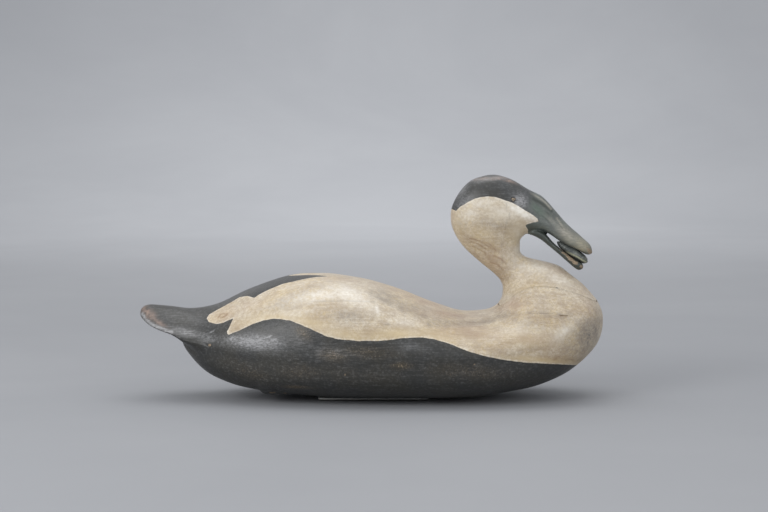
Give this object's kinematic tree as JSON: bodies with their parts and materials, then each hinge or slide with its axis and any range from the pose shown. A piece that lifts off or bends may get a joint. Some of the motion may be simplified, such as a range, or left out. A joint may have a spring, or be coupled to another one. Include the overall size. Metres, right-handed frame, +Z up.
{
  "type": "duck decoy",
  "caption": "Carved wooden sea duck decoy with its neck bent back over the body, bill pointing down and holding a mussel, on a thin ballast plate.",
  "frame": {"origin": "on the surface the decoy stands on, under the middle of its length and width", "axes": "+X towards the breast, +Y to the bird's left, +Z up"},
  "size_m": [0.508, 0.196, 0.2446],
  "materials": {
    "body": "aged oil paint, satin, black below and behind, cream on the back and breast",
    "head_and_neck": "aged oil paint, satin, cream with a black cap and a grey-green bill",
    "mussel": "aged blue-black paint, glossy",
    "ballast_plate": "dull grey lead"
  },
  "bodies": {
    "root": {"body": "body", "head_and_neck": "head_and_neck", "mussel": "mussel", "ballast_plate": "ballast_plate"}
  },
  "joints": []
}
